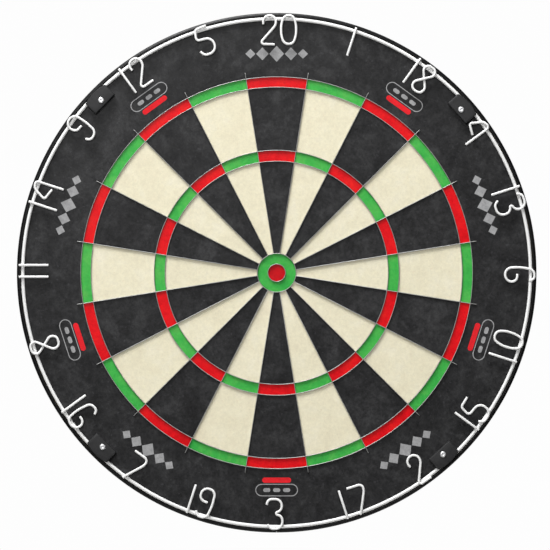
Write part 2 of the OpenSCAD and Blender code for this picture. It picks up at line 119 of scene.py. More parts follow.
class Shape:
    """Points and faces of a piece, in face-on millimetres"""

    def __init__(self):
        self.points = []
        self.faces = []

    def add(self, points):
        start = len(self.points)
        self.points += points
        return list(range(start, start + len(points)))

    def skin(self, a, b, closed=True):
        """Quads between two rows of the same length"""
        n = len(a)
        for i in range(n if closed else n - 1):
            j = (i + 1) % n
            self.faces.append((a[i], a[j], b[j], b[i]))

    def loft(self, sections, ring=False):
        """A closed solid through loops of the same length, or a ring of them"""
        rows = [self.add(s) for s in sections]
        for a, b in zip(rows, rows[1:]):
            self.skin(a, b)
        if ring:
            self.skin(rows[-1], rows[0])
        else:
            self.faces += [tuple(rows[0]), tuple(rows[-1])]
        return self

    def lathe(self, profile, segments, centre=(0, 0), angle=0):
        """
        A solid of revolution about Z, from a profile of (radius, z), at a place drawn at the top.
        A profile that starts at AXIS_R is solid there, and any other makes a ring.
        """
        return self.loft([[at_clock((centre[0] + r * math.sin(t), centre[1] + r * math.cos(t), z), angle)
            for t in full_turn(segments)] for r, z in profile], ring=profile[0][0] != AXIS_R)

    def post(self, centre, radius, low, high, segments, angle=0):
        """A plain round post along Z, at a place drawn at the top"""
        x, y = centre
        return self.loft([[at_clock((x + radius * math.cos(t), y + radius * math.sin(t), z), angle)
            for t in full_turn(segments)] for z in (low, high)])

    def grid(self, rows, floor_z):
        """A solid with an uneven top, straight sides and a flat floor"""
        ids = [self.add(row) for row in rows]
        for a, b in zip(ids, ids[1:]):
            self.skin(a, b, closed=False)
        edge = ids[0] + [row[-1] for row in ids[1:-1]] + ids[-1][::-1]
        edge += [row[0] for row in ids[-2:0:-1]]
        low = self.add([(self.points[i][0], self.points[i][1], floor_z) for i in edge])
        self.skin(edge, low)
        self.faces.append(tuple(low))


def add_object(name, data):
    thing = bpy.data.objects.new(name, data)
    bpy.context.scene.collection.objects.link(thing)
    return thing


def new_object(name, shape, sharp_angle=38):
    """A mesh object from a shape, with clean normals and smooth shading up to sharp_angle"""
    mesh = bpy.data.meshes.new(name)
    mesh.from_pydata([to_world(p) for p in shape.points], [], shape.faces)
    bm = bmesh.new()
    bm.from_mesh(mesh)
    bmesh.ops.remove_doubles(bm, verts=bm.verts, dist=2e-6)
    bmesh.ops.dissolve_degenerate(bm, edges=bm.edges, dist=1e-7)
    bmesh.ops.recalc_face_normals(bm, faces=bm.faces)
    bm.to_mesh(mesh)
    bm.free()
    smooth(mesh, sharp_angle)
    return add_object(name, mesh)


def smooth(mesh, sharp_angle):
    mesh.polygons.foreach_set("use_smooth", [True] * len(mesh.polygons))
    mesh.set_sharp_from_angle(angle=math.radians(sharp_angle))


def cut(piece, cutter_shape, sharp_angle=38):
    """Takes a shape away from a piece"""
    cutter = new_object(piece.name + "_cutter", cutter_shape)
    modifier = piece.modifiers.new("cut", "BOOLEAN")
    modifier.operation = "DIFFERENCE"
    modifier.solver = "EXACT"
    modifier.object = cutter
    evaluated = piece.evaluated_get(bpy.context.evaluated_depsgraph_get())
    mesh = bpy.data.meshes.new_from_object(evaluated)
    piece.modifiers.clear()
    old = piece.data
    piece.data = mesh
    mesh.name = piece.name
    bpy.data.meshes.remove(old)
    bpy.data.objects.remove(cutter)
    smooth(mesh, sharp_angle)


def give_material(piece, material):
    piece.data.materials.clear()
    piece.data.materials.append(material)


def dress(piece, body, slot, material, *replaced):
    """Gives a piece its material and its body, and hides the CAD nodes that it stands for. The slot argument
    is not used.
    """
    give_material(piece, material)
    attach(piece, body)
    if replaced:
        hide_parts(*replaced)


def raised(level, profile):
    """A profile of (radius, z) points moved along Z"""
    return [(r, level + z) for r, z in profile]


def fillet(corner, before, after, radius):
    """Points of a rounded corner in a profile"""
    c, b, a = Vector(corner), Vector(before), Vector(after)
    start = c + (b - c).normalized() * radius
    end = c + (a - c).normalized() * radius
    points = []
    for i in range(FILLET_STEPS + 1):
        t = i / FILLET_STEPS
        points.append(tuple(start * (1 - t) ** 2 + c * 2 * t * (1 - t) + end * t ** 2))
    return points


def rounded(profile, closed=True):
    """A profile of (x, y) or (x, y, radius) points with its corners rounded"""
    n = len(profile)
    points = []
    for i, p in enumerate(profile):
        if len(p) < 3 or (not closed and i in (0, n - 1)):
            points.append((p[0], p[1]))
        else:
            points += fillet(p[:2], profile[i - 1][:2], profile[(i + 1) % n][:2], p[2])
    return points


# ---- Material building ----

COAT_ROUGHNESS = 0.1
SISAL_SPECULAR = 0.12


def linear(colour):
    """Linear colour from a #RRGGBB one"""
    parts = [int(colour[i:i + 2], 16) / 255 for i in (1, 3, 5)]
    return [c / 12.92 if c <= 0.04045 else ((c + 0.055) / 1.055) ** 2.4 for c in parts] + [1]


class Tree:
    """The node tree of a material or of the world"""

    def __init__(self, owner):
        owner.use_nodes = True
        self.tree = owner.node_tree
        self.tree.nodes.clear()

    def node(self, kind, inputs=(), **settings):
        """A new node. Its inputs are sockets, numbers or #RRGGBB colours, and None leaves one as it is."""
        made = self.tree.nodes.new("ShaderNode" + kind)
        for key, value in settings.items():
            setattr(made, key, value)
        for key, value in dict(inputs).items():
            if isinstance(value, bpy.types.NodeSocket):
                self.tree.links.new(value, made.inputs[key])
            elif value is not None:
                made.inputs[key].default_value = linear(value) if isinstance(value, str) else value
        return made


class Finish(Tree):
    """A material. Each method adds a node and returns its output socket."""

    def __init__(self, name):
        self.material = bpy.data.materials.new(name)
        super().__init__(self.material)
        self.place = self.node("TexCoord").outputs["Object"]

    def coordinates(self, stretch, shift, turn=(0, 0, 0)):
        return self.node("Mapping", {"Vector": self.place, "Rotation": turn,
            "Location": (shift * 0.731, shift * 0.317, shift * 0.573),
            "Scale": [1 / s for s in stretch]}).outputs["Vector"]

    def noise(self, grain, detail=3, roughness=0.55, distortion=0, stretch=(1, 1, 1), shift=0):
        """Cloudy noise from 0 to 1, with features about grain millimetres across"""
        return self.node("TexNoise", {"Vector": self.coordinates(stretch, shift), "Detail": detail,
            "Scale": 1 / (grain * MM), "Roughness": roughness, "Distortion": distortion}).outputs["Fac"]

    def cells(self, grain, stretch=(1, 1, 1), shift=0, turn=(0, 0, 0)):
        """Random cells about grain millimetres across"""
        return self.node("TexVoronoi", {"Vector": self.coordinates(stretch, shift, turn),
            "Scale": 1 / (grain * MM)}).outputs["Color"]

    def span(self, value, low, high, to_low=0.0, to_high=1.0):
        """Value stretched from one range to another, and held inside it"""
        return self.node("MapRange", {"Value": value, "From Min": low, "From Max": high,
            "To Min": to_low, "To Max": to_high}).outputs["Result"]

    def math(self, operation, a, b=0.0):
        return self.node("Math", {0: a, 1: b}, operation=operation).outputs["Value"]

    def mix(self, share, a, b, mode="MIX"):
        return self.node("Mix", {0: share, 6: a, 7: b}, data_type="RGBA", blend_type=mode).outputs[2]

    def bump(self, height, depth, under=None):
        """Surface relief of about depth millimetres"""
        return self.node("Bump", {"Height": height, "Distance": depth * MM, "Strength": 1,
            "Normal": under}).outputs["Normal"]

    def done(self, colour, roughness, normal=None, metallic=0.0, specular=0.5, coat=0.0):
        shader = self.node("BsdfPrincipled", {"Base Color": colour, "Roughness": roughness,
            "Metallic": metallic, "Specular IOR Level": specular, "Coat Weight": coat,
            "Coat Roughness": COAT_ROUGHNESS, "Normal": normal})
        self.node("OutputMaterial", {"Surface": shader.outputs["BSDF"]})
        return self.material


def sisal(name, dark, middle, light, speck, speck_share=0.3, depth=0.07, grit=0.08):
    """Cut ends of packed sisal fibre, dyed: cloudy patches, grain, single fibre ends and odd specks"""
    f = Finish(name)
    cloud = f.noise(34, detail=6, roughness=0.62, distortion=1.1)
    patch = f.noise(9, detail=4, roughness=0.6, distortion=0.6, shift=3)
    grain = f.noise(2.2, detail=4, roughness=0.7, shift=7)
    ends = f.cells(0.75, shift=5)
    dots = f.noise(2.6, detail=1, shift=11)
    tone = f.math("ADD", f.math("MULTIPLY", cloud, 0.55), f.math("MULTIPLY", patch, 0.45))
    colour = f.mix(f.span(tone, 0.36, 0.5), dark, middle)
    colour = f.mix(f.span(tone, 0.5, 0.66), colour, light)
    shade = f.math("MULTIPLY", f.span(grain, 0.34, 0.66, 1 - 2 * grit, 1),
        f.span(ends, 0.0, 1.0, 1 - grit, 1))
    colour = f.mix(1.0, colour, f.mix(shade, (0, 0, 0, 1), (1, 1, 1, 1)), "MULTIPLY")
    colour = f.mix(f.span(dots, 0.68, 0.76, 0, speck_share), colour, speck)
    height = f.math("ADD", f.math("MULTIPLY", ends, 0.45), f.math("MULTIPLY", grain, 0.8))
    return f.done(colour, f.span(grain, 0.3, 0.7, 0.3, 0.42), f.bump(height, depth),
        specular=SISAL_SPECULAR)


def painted_wire():
    """White enamel on wire: slightly uneven, a little grey where it has rubbed"""
    f = Finish("white_wire")
    uneven = f.noise(3.5, detail=3, shift=2)
    rubbed = f.noise(14, detail=5, roughness=0.7, shift=9)
    colour = f.mix(f.span(rubbed, 0.56, 0.74, 0, 0.45), "#F0F0EF", "#CFCFCE")
    colour = f.mix(f.span(uneven, 0.35, 0.65, 0.0, 0.25), colour, "#E6E6E5")
    return f.done(colour, f.span(uneven, 0.3, 0.7, 0.3, 0.45), f.bump(uneven, 0.05), coat=0.1)


def blade_steel():
    """Galvanised strip, grey with fine drawing lines"""
    f = Finish("blade_steel")
    spangle = f.cells(2.4, shift=4)
    lines = f.noise(0.9, detail=2, shift=6)
    colour = f.mix(f.span(spangle, 0.0, 1.0), "#A9A9A7", "#C4C4C2")
    return f.done(colour, f.span(lines, 0.3, 0.7, 0.42, 0.58), f.bump(lines, 0.012), metallic=0.7)


def zinc():
    """Zinc-plated steel: faint spangle, scuffs and a brushed bump"""
    f = Finish("screw_steel")
    spangle = f.cells(3.2, shift=8)
    scuff = f.noise(6, detail=6, roughness=0.75, distortion=1.5, shift=12)
    brushed = f.noise(0.6, detail=3, stretch=(1, 1, 14), shift=1)
    colour = f.mix(f.span(spangle, 0.0, 1.0), "#8C8F93", "#A9ABAE")
    colour = f.mix(f.span(scuff, 0.58, 0.74, 0, 0.5), colour, "#6E7073")
    rough = f.math("ADD", f.span(scuff, 0.3, 0.7, 0.28, 0.42), f.span(brushed, 0.3, 0.7, -0.04, 0.06))
    return f.done(colour, rough, f.bump(brushed, 0.02, f.bump(scuff, 0.03)), metallic=1.0)


def powder_coat():
    """Semi-gloss black powder coat: fine orange peel, a little grey where it has rubbed"""
    f = Finish("bracket_coat")
    peel = f.noise(1.1, detail=2, shift=8)
    rubbed = f.noise(6, detail=6, roughness=0.75, distortion=1.5, shift=12)
    colour = f.mix(f.span(rubbed, 0.58, 0.74, 0, 0.5), "#1B1B1C", "#434344")
    return f.done(colour, f.span(peel, 0.3, 0.7, 0.34, 0.5), f.bump(peel, 0.03), specular=0.45)


def band_paint():
    """Black gloss paint over rolled steel: orange peel, dust and small scratches"""
    f = Finish("band_paint")
    peel = f.noise(1.6, detail=2, shift=3)
    dust = f.noise(22, detail=6, roughness=0.7, distortion=0.8, shift=5)
    scratch = f.noise(1.1, detail=5, roughness=0.8, stretch=(14, 1, 14), shift=14)
    colour = f.mix(f.span(dust, 0.5, 0.72, 0, 0.5), "#09090A", "#151516")
    colour = f.mix(f.span(scratch, 0.66, 0.74, 0, 0.5), colour, "#2A2A2A")
    rough = f.span(dust, 0.35, 0.7, 0.34, 0.46)
    return f.done(colour, rough, f.bump(peel, 0.03), specular=0.25)


def chipboard():
    """Pressed wood chips: flakes of several browns that lie two ways, with a matt sanded face"""
    f = Finish("chipboard")
    lying = f.cells(3.4, stretch=(2.1, 1, 1), shift=3, turn=(0, 0.5, 0))
    standing = f.cells(3.4, stretch=(1, 1, 1.9), shift=17, turn=(0, -0.4, 0))
    small = f.cells(1.3, stretch=(1, 1, 1.7), shift=6)
    covered = f.noise(4.5, detail=4, roughness=0.7, distortion=1.2, shift=5)
    fibre = f.noise(0.8, detail=4, roughness=0.7, stretch=(7, 1, 1), shift=9)
    stain = f.noise(60, detail=4, shift=13)
    flakes = f.mix(f.span(covered, 0.47, 0.53), lying, standing)
    colour = f.mix(f.span(flakes, 0.1, 0.9), "#A98A5E", "#D2B488")
    colour = f.mix(f.math("MULTIPLY", f.span(small, 0.45, 0.9), 0.5), colour, "#8C6E48")
    colour = f.mix(f.span(fibre, 0.35, 0.7, 0.0, 0.35), colour, "#DFC59A")
    colour = f.mix(f.span(stain, 0.4, 0.7, 0.0, 0.3), colour, "#96784F")
    height = f.math("ADD", f.math("MULTIPLY", flakes, 0.5), f.math("MULTIPLY", fibre, 0.5))
    return f.done(colour, f.span(fibre, 0.3, 0.7, 0.72, 0.9), f.bump(height, 0.12), specular=0.3)


def rubber():
    """Matt black rubber with a dusty bloom and a fine moulded grain"""
    f = Finish("foot_rubber")
    bloom = f.noise(7, detail=5, roughness=0.65, shift=4)
    grain = f.noise(0.5, detail=2, shift=8)
    colour = f.mix(f.span(bloom, 0.4, 0.7), "#232426", "#3A3B3C")
    return f.done(colour, f.span(bloom, 0.3, 0.7, 0.62, 0.82), f.bump(grain, 0.04), specular=0.35)


def clip_plastic():
    """Dark grey moulded nylon with a spark-eroded grain, a little lighter where it is handled"""
    f = Finish("clip_plastic")
    grain = f.noise(0.45, detail=3, shift=2)
    flow = f.noise(8, detail=4, distortion=0.7, shift=7)
    colour = f.mix(f.span(flow, 0.35, 0.68), "#222223", "#2C2C2D")
    colour = f.mix(f.span(grain, 0.62, 0.76, 0, 0.4), colour, "#3C3C3D")
    return f.done(colour, f.span(grain, 0.3, 0.7, 0.42, 0.6), f.bump(grain, 0.03), specular=0.3)


def pin_steel():
    """Bright turned steel pin"""
    f = Finish("pin_steel")
    swirl = f.noise(0.7, detail=3, distortion=1.2, shift=5)
    tone = f.noise(2.5, detail=2, shift=9)
    colour = f.mix(f.span(tone, 0.35, 0.65), "#DADBDD", "#F3F3F4")
    return f.done(colour, f.span(swirl, 0.3, 0.7, 0.3, 0.46), f.bump(swirl, 0.01), metallic=0.7)


def printed_ink(name, low, high, broken):
    """Thin ink on the fibre face: broken up a little by the fibre ends"""
    f = Finish(name)
    worn = f.noise(5, detail=5, roughness=0.7, shift=6)
    ends = f.cells(0.75, shift=5)
    colour = f.mix(f.span(worn, 0.35, 0.65), low, high)
    colour = f.mix(f.span(ends, 0.55, 1.0, 0.0, broken), colour, "#5A5A5B")
    return f.done(colour, f.span(worn, 0.3, 0.7, 0.7, 0.88), f.bump(ends, 0.05), specular=0.3)


BLACK_SISAL = sisal("black_sisal", "#272728", "#333334", "#464647", "#525256", 0.25, depth=0.1, grit=0.22)
CREAM_SISAL = sisal("cream_sisal", "#E8E0C4", "#EDE6CA", "#F0EAD2", "#DCCDB0", 0.35, depth=0.08, grit=0.05)
RED_SISAL = sisal("red_sisal", "#D50B15", "#E8101B", "#EE201C", "#A80F18")
GREEN_SISAL = sisal("green_sisal", "#36AC49", "#46B84F", "#62BE58", "#2C8F3C")
BULL_GREEN = sisal("bull_green_sisal", "#34A947", "#42B44C", "#5ABA55", "#2C8F3C")
BULL_RED = sisal("bull_red_sisal", "#C00C17", "#CF0F1A", "#D61A1E", "#A80F18")
RAW_SISAL = sisal("natural_sisal", "#8E7A4E", "#B09A68", "#C9B684", "#6C5A38", 0.4, depth=0.3, grit=0.16)
WHITE_WIRE = painted_wire()
BLADE_STEEL = blade_steel()
BRACKET_COAT = powder_coat()
SCREW_STEEL = zinc()
BAND_PAINT = band_paint()
CHIPBOARD = chipboard()
RUBBER = rubber()
CLIP_PLASTIC = clip_plastic()
PIN_STEEL = pin_steel()
GREY_INK = printed_ink("grey_ink", "#909091", "#A6A6A7", 0.3)
RED_INK = printed_ink("red_ink", "#D0101C", "#E81A26", 0.12)


# ---- Playing face ----

# Distances from a bed's edge at which its surface has extra rows
EDGE_ROWS = (0, 0.15, 0.35, 0.7)
# How far the fibres are pushed down along a blade, and how wide that dip is
EDGE_DROP = 0.12
EDGE_WIDTH = 0.6
# Spacing of the surface's points
FACE_STEP = 1.7
# Size and height of the face's coarse and fine unevenness
COARSE_GRAIN = 12
COARSE_HEIGHT = 0.09
FINE_GRAIN = 3.4
FINE_HEIGHT = 0.045
# Radius of the small flat in the middle of a round bed
DISC_CENTRE_R = 0.6


def swell(x, y):
    """Height of the sisal's unevenness at a point of the face"""
    coarse = noise.noise(Vector((x, y, 0)) / COARSE_GRAIN)
    fine = noise.noise(Vector((x, y, 90)) / FINE_GRAIN)
    return COARSE_HEIGHT * coarse + FINE_HEIGHT * fine


def face_point(r, angle, edge_distance):
    """A point of the playing face, lower where it is close to a blade"""
    x, y, _ = polar(r, angle, 0)
    near = max(0, 1 - edge_distance / EDGE_WIDTH)
    return (x, y, FACE_Z + swell(x, y) * (1 - near) - EDGE_DROP * near ** 2)


def spaced(low, high, step):
    """Positions from low to high, close together at both ends"""
    margin = EDGE_ROWS[-1]
    n = max(1, round((high - low - 2 * margin) / step))
    middle = [low + margin + (high - low - 2 * margin) * i / n for i in range(n + 1)]
    return [low + e for e in EDGE_ROWS[:-1]] + middle + [high - e for e in reversed(EDGE_ROWS[:-1])]


def add_bed(shape, sector, r_in, r_out):
    """One bed between two radial blades and two ring blades"""
    half = math.radians(SECTOR / 2)
    columns = len(spaced(0, 2 * r_out * half, FACE_STEP))
    middle_columns = columns - 2 * len(EDGE_ROWS) + 1
    rows = []
    for r in spaced(r_in + SLIT, r_out - SLIT, FACE_STEP):
        width = r * (half - math.asin(SLIT / r))
        step = (2 * width - 2 * EDGE_ROWS[-1]) / max(1, middle_columns)
        row = []
        for along in spaced(-width, width, step):
            distance = min(r - r_in - SLIT, r_out - SLIT - r, width - abs(along))
            row.append(face_point(r, sector * SECTOR + math.degrees(along / r), distance))
        rows.append(row)
    shape.grid(rows, LAYER_Z)


def blade_gap(r, angle):
    """Distance from a point of the face to the side of the nearest radial blade"""
    if not BLADE_START_R < r < BLADE_END_R:
        return FACE_OUTER_R
    return max(0, math.radians(abs(angle % SECTOR - SECTOR / 2)) * r - BLADE_T / 2)


def round_face(r_in, r_out, angles):
    """A round face, or a disc where r_in is 0"""
    sections = []
    for r in spaced(r_in or DISC_CENTRE_R, r_out, FACE_STEP):
        to_rim = r_out - r if r_in == 0 else min(r - r_in, r_out - r)
        sections.append([face_point(r, angle, min(to_rim, blade_gap(r, angle))) for angle in angles])
    sections.append([(x, y, LAYER_Z) for x, y, _ in sections[-1]])
    if r_in > 0:
        sections.append([(x, y, LAYER_Z) for x, y, _ in sections[0]])
    return Shape().loft(sections, ring=r_in > 0)


def beds_of(first, rings):
    """Beds of every second sector between each pair of ring radii"""
    shape = Shape()
    for sector in range(first, SECTORS, 2):
        for r_in, r_out in rings:
            add_bed(shape, sector, r_in, r_out)
    return shape


double_out, double_in, treble_out, treble_in, bull_out, bull_in = [BLADE_R[name] for name in RING_BLADES]
SINGLE_RINGS = [(bull_out, treble_in), (treble_out, double_in)]
SCORING_RINGS = [(treble_in, treble_out), (double_in, double_out)]


def make_playing_face():
    for name, first, rings, slot, material, node in (
            ("black_singles_face", 0, SINGLE_RINGS, "black_sisal", BLACK_SISAL, "black_singles"),
            ("cream_singles_face", 1, SINGLE_RINGS, "cream_sisal", CREAM_SISAL, "cream_singles"),
            ("red_beds_face", 0, SCORING_RINGS, "red_sisal", RED_SISAL, "red_scoring_beds"),
            ("green_beds_face", 1, SCORING_RINGS, "green_sisal", GREEN_SISAL, "green_scoring_beds")):
        dress(new_object(name, beds_of(first, rings)), "board", slot, material, node)
    outer_bull = round_face(bull_in + SLIT, bull_out - SLIT, [5 * i for i in range(72)])
    dress(new_object("outer_bull_face", outer_bull), "board", "green_sisal", BULL_GREEN, "outer_bull_bed")
    bullseye = round_face(0, bull_in - SLIT, [7.5 * i for i in range(48)])
    dress(new_object("bullseye_face", bullseye), "board", "red_sisal", BULL_RED, "bullseye_bed")


def make_number_band():
    """The black band outside the doubles, with the four holes that the clip pins are pushed into"""
    beside_blade = [math.degrees(d / double_out) for d in (0.2, 0.36, 0.6, 1.1)]
    plain = SECTOR / 2 - beside_blade[-1]
    columns = 16
    angles = []
    for k in range(SECTORS):
        middle = k * SECTOR
        angles += [middle - SECTOR / 2 + a for a in beside_blade]
        angles += [middle + plain * (2 * i / columns - 1) for i in range(1, columns)]
        angles += [middle + SECTOR / 2 - a for a in reversed(beside_blade)]
    band = new_object("number_band_face", round_face(double_out + SLIT, FACE_OUTER_R, angles))
    holes = Shape()
    for angle in CLIP_ANGLES:
        holes.post(at_clock((0, PIN_R, 0), angle)[:2], PIN_HOLE_R, LAYER_Z - 1, FACE_Z + 2, 24)
    cut(band, holes)
    dress(band, "board", "black_sisal", BLACK_SISAL, "number_band")


# ---- Printed marks, plain shapes without lettering ----

# How far the ink stands above the fibres and how far its patch reaches into them
INK_PROUD = 0.05
INK_DEPTH = 0.25
MARK_STEP = 1.2
DIAMOND_R = 190
# Sideways place, half width and half height of each diamond in a row of five
DIAMONDS = [(-22.8, 4.4, 4.2), (-12.4, 5.4, 5.6), (0, 6.4, 7), (12.4, 5.4, 5.6), (22.8, 4.4, 4.2)]
CAPSULE_R = 188.6
CAPSULE_HALF_W = 18.5
CAPSULE_HALF_H = 5.4
CAPSULE_LINE = 0.7
# Half width and half height of each bar
GREY_BAR = (3.1, 1.7)
GREY_BAR_STEP = 8.6
RED_BAR = (12.6, 2.3)
RED_BAR_R = 180
MARKS = 5
MARK_ANGLE = 360 / MARKS


def dense(outline):
    """An outline with extra points, none further than MARK_STEP from the next"""
    points = []
    for a, b in zip(outline, outline[1:] + outline[:1]):
        n = max(1, math.ceil(math.dist(a, b) / MARK_STEP))
        points += [(a[0] + (b[0] - a[0]) * i / n, a[1] + (b[1] - a[1]) * i / n) for i in range(n)]
    return points


def capsule(half_w, half_h):
    """Outline of a bar with round ends"""
    arc = [math.radians(-90 + 180 * i / 12) for i in range(13)]
    right = [(half_w - half_h + half_h * math.cos(t), half_h * math.sin(t)) for t in arc]
    return right + [(-x, -y) for x, y in right]


def inked(shape, rings, angle, radius, filled):
    """A printed patch between outlines, or filled to its middle, that follows the face"""
    def row(points, lift):
        placed = [at_clock((x, radius + y, 0), angle) for x, y in points]
        return [(x, y, FACE_Z + swell(x, y) + lift) for x, y, _ in placed]
    lows = [row(points, -INK_DEPTH) for points in reversed(rings)]
    shape.loft(lows + [row(points, INK_PROUD) for points in rings], ring=not filled)


def shrunk(outline, x0):
    """The outline moved sideways by x0, and smaller copies of it towards its middle"""
    return [[(x0 + x * s, y * s) for x, y in outline] for s in (1, 0.75, 0.5, 0.25, 0.06)]


def make_printed_marks():
    grey, red = Shape(), Shape()
    for k in range(MARKS):
        for x, w, h in DIAMONDS:
            diamond = dense([(w, 0), (0, h), (-w, 0), (0, -h)])
            inked(grey, shrunk(diamond, x), MARK_ANGLE * k, DIAMOND_R, True)
        between = MARK_ANGLE * (k + 0.5)
        outline = dense(capsule(CAPSULE_HALF_W, CAPSULE_HALF_H))
        inner = [(x * (1 - CAPSULE_LINE / CAPSULE_HALF_W), y * (1 - CAPSULE_LINE / CAPSULE_HALF_H))
            for x, y in outline]
        inked(grey, [outline, inner], between, CAPSULE_R, False)
        for i in range(-1, 2):
            inked(grey, shrunk(dense(capsule(*GREY_BAR)), GREY_BAR_STEP * i), between, CAPSULE_R, True)
        inked(red, shrunk(dense(capsule(*RED_BAR)), 0), between, RED_BAR_R, True)
    dress(new_object("printed_marks_grey", grey, 60), "board", "cream_sisal", GREY_INK)
    dress(new_object("printed_marks_red", red, 60), "board", "red_sisal", RED_INK)


# ---- Blade spider ----

LAP_Z = (BLADE_TOP_Z + BLADE_BOTTOM_Z) / 2
LAP_PLAY = 0.1
NOTCH_HALF_W = (BLADE_T + LAP_PLAY) / 2
# Length over which a blade's edge drops into a notch
NOTCH_STEP = 0.02
CROWN = 0.32


def blade_section(top, bottom):
    """Cross-section of a blade as (across, height), with a crowned top edge"""
    half = BLADE_T / 2
    crown = []
    for i in range(7):
        t = math.pi * i / 6
        crown.append((half * math.cos(t), top - CROWN + CROWN * math.sin(t)))
    return [(half, bottom)] + crown + [(-half, bottom)]


def make_radial_blades():
    """Twenty straight blades, notched from below where they cross the ring blades"""
    shape = Shape()
    for k in range(SECTORS):
        stations = [(BLADE_START_R, BLADE_TOP_Z - 0.25, BLADE_BOTTOM_Z),
            (BLADE_START_R + 0.3, BLADE_TOP_Z, BLADE_BOTTOM_Z)]
        for r in sorted(BLADE_R.values()):
            if r > BLADE_START_R + 1:
                start, end = r - NOTCH_HALF_W, r + NOTCH_HALF_W
                stations += [(start - NOTCH_STEP, BLADE_TOP_Z, BLADE_BOTTOM_Z),
                    (start, BLADE_TOP_Z, LAP_Z), (end, BLADE_TOP_Z, LAP_Z),
                    (end + NOTCH_STEP, BLADE_TOP_Z, BLADE_BOTTOM_Z)]
        for before_end, drop in ((1.1, 0), (0.6, 0.08), (0.25, 0.3), (0, 0.75)):
            stations.append((BLADE_END_R - before_end, BLADE_TOP_Z - drop, BLADE_BOTTOM_Z))
        angle = SECTOR * (k + 0.5)
        shape.loft([[at_clock((x, r, z), angle) for x, z in blade_section(top, bottom)]
            for r, top, bottom in stations])
    dress(new_object("radial_blade_strips", shape, 50), "board", "blade_steel", BLADE_STEEL,
        "radial_blades")


def make_ring_blades():
    """Ring blades, notched from above where the radial blades cross; the bull rings are plain"""
    for name, r in BLADE_R.items():
        crossed = r > BLADE_START_R + 1
        notch = math.degrees(NOTCH_HALF_W / r)
        step = math.degrees(NOTCH_STEP / r)
        between = 16 if crossed else 6
        sections = []
        for k in range(SECTORS):
            start = SECTOR * (k + 0.5)
            if crossed:
                stations = [(start - notch, LAP_Z - LAP_PLAY), (start + notch, LAP_Z - LAP_PLAY)]
                first, last = start + notch + step, start + SECTOR - notch - step
            else:
                stations = []
                first, last = start, start + SECTOR * (1 - 1 / between)
            count = between - 1
            stations += [(first + (last - first) * i / count, BLADE_TOP_Z) for i in range(count + 1)]
            for angle, top in stations:
                sections.append([polar(r + across, angle, z)
                    for across, z in blade_section(top, BLADE_BOTTOM_Z)])
        strip = new_object(name + "_strip", Shape().loft(sections, ring=True), 50)
        dress(strip, "board", "blade_steel", BLADE_STEEL, name)


# ---- Number ring ----

# Each digit's bends as (x, y, bend radius, lift), as in the CAD model; lift is left out where it is 0
DIGITS = {
    0: [(-3.9, 12.4, 5), (3.9, 12.4, 5), (6.5, 4.5, 20), (6.5, -4.5, 20), (3.9, -12.4, 5), (-3.9, -12.4, 5),
        (-6.5, -4.5, 20), (-6.5, 4.5, 20)],
    1: [(0, 12.9, 0), (0, -12.9, 0)],
    2: [(-4.5, 4.6, 0), (-4.7, 12.3, 5.4), (6.4, 12.3, 5.4), (6.4, 4, 7.2), (-8, -12.4, 1.9),
        (5.5, -12.7, 0)],
    3: [(-6.8, 8, 0), (-5.6, 12.9, 4.5), (6.3, 12.9, 5.6), (6.3, 3.2, 5), (-1.4, 0.2, 1.2), (6.9, -1.6, 5),
        (6.9, -12.8, 5.9), (-3.6, -12.8, 5.2), (-6.2, -8.9, 0)],
    4: [(6.1, -12.9, 0), (6.1, 12.8, 2.6), (-0.6, 11.5, 6), (-6.9, 0.6, 1.8), (3, -3.2, 0)],
    5: [(4.8, 12.1, 0), (-5.4, 11.4, 3.2), (-7.2, 1.8, 2.6), (6.9, 0.9, 6.4), (6.9, -12.2, 6.2),
        (-4, -12.2, 4.5), (-6.7, -8, 0)],
    6: [(5.2, 9.2, 0), (3.2, 12.8, 3.2), (-4.4, 12.8, 5.4), (-6.6, -1, 30), (-5.6, -12.5, 5.6),
        (6, -12.5, 5.6), (6, -2.1, 4.6), (-0.8, -2.1, 0)],
    7: [(-7.2, 12.3, 0), (7.2, 12.3, 3.8), (6.6, 6, 10), (-2.4, -12.9, 0)],
    8: [(-4.2, 12.3, 4), (4.2, 12.3, 4), (5.6, 7.2, 4),
        (2.3, 3.3, 0, 0.5), (0, 0.58, 0, 1), (-2.3, -2.14, 0, 0.5),
        (-5.9, -6.4, 4.4), (-4.3, -12.3, 4.3), (4.3, -12.3, 4.3), (5.9, -6.4, 4.4),
        (2.3, -2.14, 0, -0.5), (0, 0.58, 0, -1), (-2.3, 3.3, 0, -0.5), (-5.6, 7.2, 4)],
    9: [(1.8, 1.1, 0), (-6, 1.7, 4.9), (-6, 12.8, 5.6), (5.4, 12.8, 5.4), (6.4, 0, 35), (4.8, -12.5, 5.6),
        (-3.4, -12.5, 3.8), (-5.7, -8.3, 0)]}
CLOSED_DIGITS = (0, 8)
CROSSING_LIFT = NUMERAL_WIRE_R + 0.1
# Each numeral's value and the sideways offset of each of its digits, clockwise from the top
NUMERALS = [(20, -7.1, 10.4), (1, 0), (18, -8.2, 4.6), (4, 0.4), (13, -6.5, 6.1), (6, 1.7),
    (10, -9.4, 6.9), (15, -7.2, 5.2), (2, -1), (17, -7.2, 6.9), (3, -1.9), (19, -9.8, 2.9), (7, -1.5),
    (16, -11.5, 1.4), (8, 2.6), (11, -3.5, 6.6), (14, -7.6, 5.2), (9, 2), (12, -6.9, 6.2), (5, 3)]
# Places of the lower numerals, which are turned over so that they read upright
INVERTED = range(6, 14)
NUMERAL_R = 210.6
INVERTED_DROP = 1.5
BEND_STEP = 9
WIRE_SIDES = 14
# Rounding of a cut wire end, and the size of the welds
BLUNT = 0.45
WELD_R = 1.15
WELD_HEIGHT = 0.75
WELD_STRETCH = 1.25
# Where the ring wire's own ends are welded, and the size of the swelling there
JOINT_ANGLE = 199
JOINT_SWELL = 0.22
JOINT_HALF_W = 1.6


